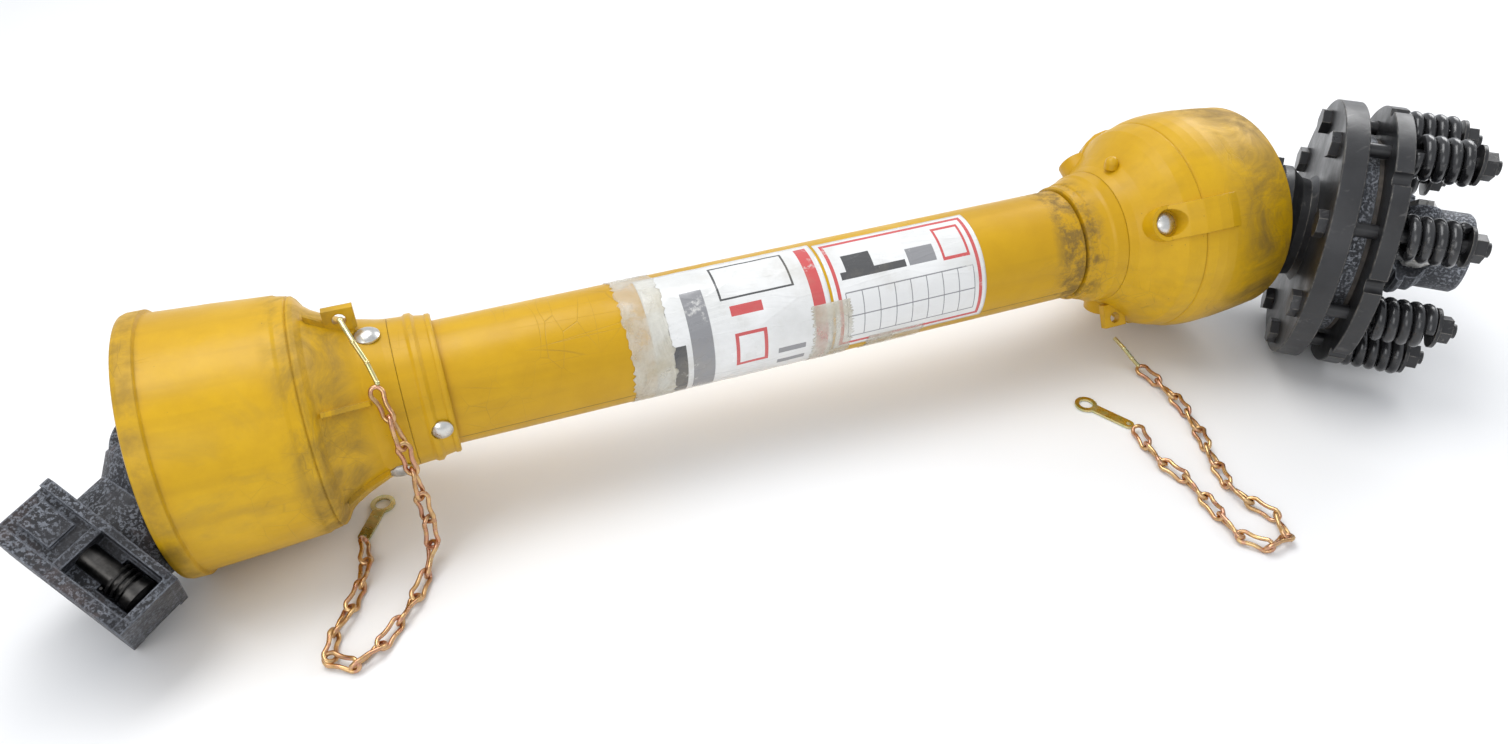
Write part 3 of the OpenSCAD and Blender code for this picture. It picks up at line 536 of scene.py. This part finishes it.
def label_mat(name, kind):
    k = M(name)
    uv = k.n("ShaderNodeSeparateXYZ")
    k.link(k.tc.outputs["UV"], uv.inputs[0])
    U, V = uv.outputs[0], uv.outputs[1]

    def rect(u0, v0, u1, v1):
        f = k.math("MULTIPLY", k.math("GREATER_THAN", U, u0), k.math("LESS_THAN", U, u1))
        g = k.math("MULTIPLY", k.math("GREATER_THAN", V, v0), k.math("LESS_THAN", V, v1))
        return k.math("MULTIPLY", f, g)

    def frame_(u0, v0, u1, v1, tu, tv):
        return k.math("SUBTRACT", rect(u0, v0, u1, v1), rect(u0 + tu, v0 + tv, u1 - tu, v1 - tv))

    paper = k.mix(k.ramp(k.noise(22, 5, 0.6), (0.35, 0.0), (0.75, 1.0)), (0.80, 0.80, 0.79), (0.62, 0.62, 0.60))
    c = paper
    red, blk, gry = (0.55, 0.035, 0.035), (0.020, 0.020, 0.022), (0.22, 0.22, 0.23)
    items = []
    if kind == "plate":
        items.append((frame_(0.03, 0.04, 0.97, 0.96, 0.022, 0.030), red))
        # empty table of cells
        items.append((rect(0.08, 0.13, 0.92, 0.50), (0.75, 0.75, 0.74)))
        for j in range(9):
            u = 0.08 + 0.84 * j / 8
            items.append((rect(u - 0.003, 0.13, u + 0.003, 0.50), gry))
        for v in (0.13, 0.315, 0.50):
            items.append((rect(0.08, v - 0.005, 0.92, v + 0.005), gry))
        # plain silhouette block and a plain square
        items.append((rect(0.08, 0.60, 0.50, 0.66), blk))
        items.append((rect(0.12, 0.66, 0.30, 0.80), blk))
        items.append((rect(0.52, 0.60, 0.70, 0.74), gry))
        items.append((frame_(0.74, 0.58, 0.92, 0.88, 0.016, 0.026), red))
    else:
        items.append((rect(0.44, 0.60, 0.62, 0.66), red))
        items.append((rect(0.20, 0.12, 0.32, 0.80), gry))
        items.append((rect(0.10, 0.06, 0.17, 0.50), blk))
        items.append((frame_(0.40, 0.70, 0.82, 0.95, 0.012, 0.012), blk))
        items.append((frame_(0.44, 0.28, 0.62, 0.50, 0.02, 0.02), red))
        items.append((rect(0.90, 0.04, 0.97, 0.96), red))
        items.append((rect(0.68, 0.20, 0.84, 0.24), gry))
        items.append((rect(0.68, 0.30, 0.84, 0.34), gry))
    for f, col in items:
        c = k.mix(k.math("MULTIPLY", f, 0.93), c, col)
    # rubbed-off print, grime and a yellowed film
    rub = k.ramp(k.noise(45, 7, 0.75), (0.60, 0.0), (0.68, 0.85))
    c = k.mix(rub, c, (0.66, 0.65, 0.62))
    grime = k.ramp(k.noise(16, 6, 0.65), (0.52, 0.0), (0.74, 0.40))
    c = k.mix(grime, c, (0.36, 0.31, 0.22))
    wr = k.noise(18, 5, 0.6, k.co((0.6, 2.5, 2.5)), 1.4)
    r = k.ramp(k.noise(30, 4), (0.3, 0.12), (0.7, 0.32))
    b1 = k.bump(wr, 0.55, 0.0022)
    b2 = k.bump(k.ramp(k.vor(35, "DISTANCE_TO_EDGE", k.co((0.5, 1.6, 1.6))), (0.0, 1.0), (0.05, 0.0)), 0.25, 0.0006, b1)
    return k.fin(c, r, 0.0, b2, **{"Coat Weight": 0.6, "Coat Roughness": 0.12})


def patch(name, s0, s1, a0, a1, r, thick, mat, nu=70, nv=44, wob=0.0, skew=0.0, rag=0.0, seed=1):
    """a sheet wrapped on the tube: stations in mm, angles in degrees from up toward the front"""
    rnd = random.Random(seed)
    edge0 = [rnd.uniform(-1, 1) for _ in range(nv + 1)]
    edge1 = [rnd.uniform(-1, 1) for _ in range(nv + 1)]
    bm = bmesh.new()
    uvl = bm.loops.layers.uv.new("UVMap")
    vs = {}
    for side_ in (0, 1):
        for i in range(nu + 1):
            for j in range(nv + 1):
                u, v = i / nu, j / nv
                a = a0 + (a1 - a0) * v
                s = s0 + (s1 - s0) * u + skew * (v - 0.5)
                if i == 0:
                    s += rag * edge0[j]
                if i == nu:
                    s += rag * edge1[j]
                w = wob * (math.sin(u * 31 + v * 9) * math.sin(v * 17 + u * 5) * 0.5 + 0.5) * math.sin(math.pi * min(1, max(0, u))) if side_ else 0
                vs[side_, i, j] = bm.verts.new(sh(s, r + (thick + w if side_ else 0), a))
    def quad(q, uvs):
        f = bm.faces.new(q)
        for l, t in zip(f.loops, uvs):
            l[uvl].uv = t
        f.smooth = True
    for i in range(nu):
        for j in range(nv):
            uvs = [(i / nu, 1 - j / nv), ((i + 1) / nu, 1 - j / nv), ((i + 1) / nu, 1 - (j + 1) / nv), (i / nu, 1 - (j + 1) / nv)]
            quad([vs[1, i, j], vs[1, i + 1, j], vs[1, i + 1, j + 1], vs[1, i, j + 1]], uvs)
            quad([vs[0, i, j + 1], vs[0, i + 1, j + 1], vs[0, i + 1, j], vs[0, i, j]], list(reversed(uvs)))
    e = [(0.001, 0.001)] * 4
    for i in range(nu):
        quad([vs[0, i, 0], vs[0, i + 1, 0], vs[1, i + 1, 0], vs[1, i, 0]], e)
        quad([vs[1, i, nv], vs[1, i + 1, nv], vs[0, i + 1, nv], vs[0, i, nv]], e)
    for j in range(nv):
        quad([vs[1, 0, j], vs[1, 0, j + 1], vs[0, 0, j + 1], vs[0, 0, j]], e)
        quad([vs[0, nu, j], vs[0, nu, j + 1], vs[1, nu, j + 1], vs[1, nu, j]], e)
    bmesh.ops.recalc_face_normals(bm, faces=bm.faces)
    me = bpy.data.meshes.new(name)
    bm.to_mesh(me)
    bm.free()
    return new_obj(name, me, mat)


wrap = patch("paper_label", 99, 222, -12, 150, 40.02, 0.30, label_mat("paper_print", "wrap"), skew=0, wob=0.25, seed=3)
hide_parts("paper_wrap")
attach(wrap, "guard_outer")
plate = patch("grid_label", 224, 338, -8, 118, 40.02, 0.28, label_mat("grid_print", "plate"), skew=0, wob=0.06, seed=5)
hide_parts("rating_label")
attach(plate, "guard_outer")

# clear tape over the paper's ends, wrinkled
kt = M("clear_tape")
tape_c = kt.mix(kt.ramp(kt.noise(40, 5, 0.6), (0.4, 0.0), (0.7, 1.0)), (0.80, 0.78, 0.70), (0.66, 0.60, 0.46))
TAPE = kt.fin(tape_c, kt.ramp(kt.noise(50, 4), (0.3, 0.10), (0.7, 0.3)), 0.0,
              kt.bump(kt.noise(30, 6, 0.65, kt.co((2.2, 0.8, 0.8)), 1.5), 0.8, 0.003), Alpha=kt.ramp(kt.noise(28, 5, 0.6), (0.40, 0.22), (0.62, 0.62)))
for nm, a, b, an0, an1, sd in (("tape_band_a", 84, 112, -70, 215, 7), ("tape_band_b", 208, 236, 60, 165, 9), ("tape_flap", 250, 292, 108, 150, 11)):
    tp = patch(nm, a, b, an0, an1, 40.42, 0.10, TAPE, 26, 90, wob=0.35, rag=1.6, seed=sd)
    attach(tp, "guard_outer")

# ---------------------------------------------------------------- floor, light, world
fme = bpy.data.meshes.new("floor")
S = 6.0
fme.from_pydata([(-S, -S, 0), (S, -S, 0), (S, S, 0), (-S, S, 0)], [], [(0, 1, 2, 3)])
fl = bpy.data.objects.new("floor", fme)
bpy.context.scene.collection.objects.link(fl)
kf = M("floor_pale")
fme.materials.append(kf.fin(kf.mix(kf.ramp(kf.noise(3, 3), (0.3, 0.0), (0.7, 1.0)), (0.83, 0.83, 0.83), (0.86, 0.86, 0.86)), 0.75))


def area(name, loc, target, size, energy, col=(1, 1, 1)):
    d = bpy.data.lights.new(name, "AREA")
    d.shape = "RECTANGLE"
    d.size, d.size_y = size
    d.energy = energy
    d.color = col
    o = bpy.data.objects.new(name, d)
    bpy.context.scene.collection.objects.link(o)
    o.location = loc
    o.rotation_euler = (Vector(target) - Vector(loc)).to_track_quat("-Z", "Y").to_euler()
    return o


area("key", (-0.4, 0.5, 1.9), (0, 0, 0.05), (1.6, 1.0), 22)
area("fill", (-1.4, -1.5, 1.3), (0, 0, 0.05), (1.6, 1.2), 13)
area("rim", (1.6, 0.9, 1.1), (0.2, 0, 0.05), (1.0, 0.8), 12)
w = bpy.data.worlds.new("w")
bpy.context.scene.world = w
w.use_nodes = True
w.node_tree.nodes["Background"].inputs[0].default_value = (0.92, 0.95, 1.0, 1)
w.node_tree.nodes["Background"].inputs[1].default_value = 0.75
bpy.context.scene.view_settings.view_transform = "Standard"
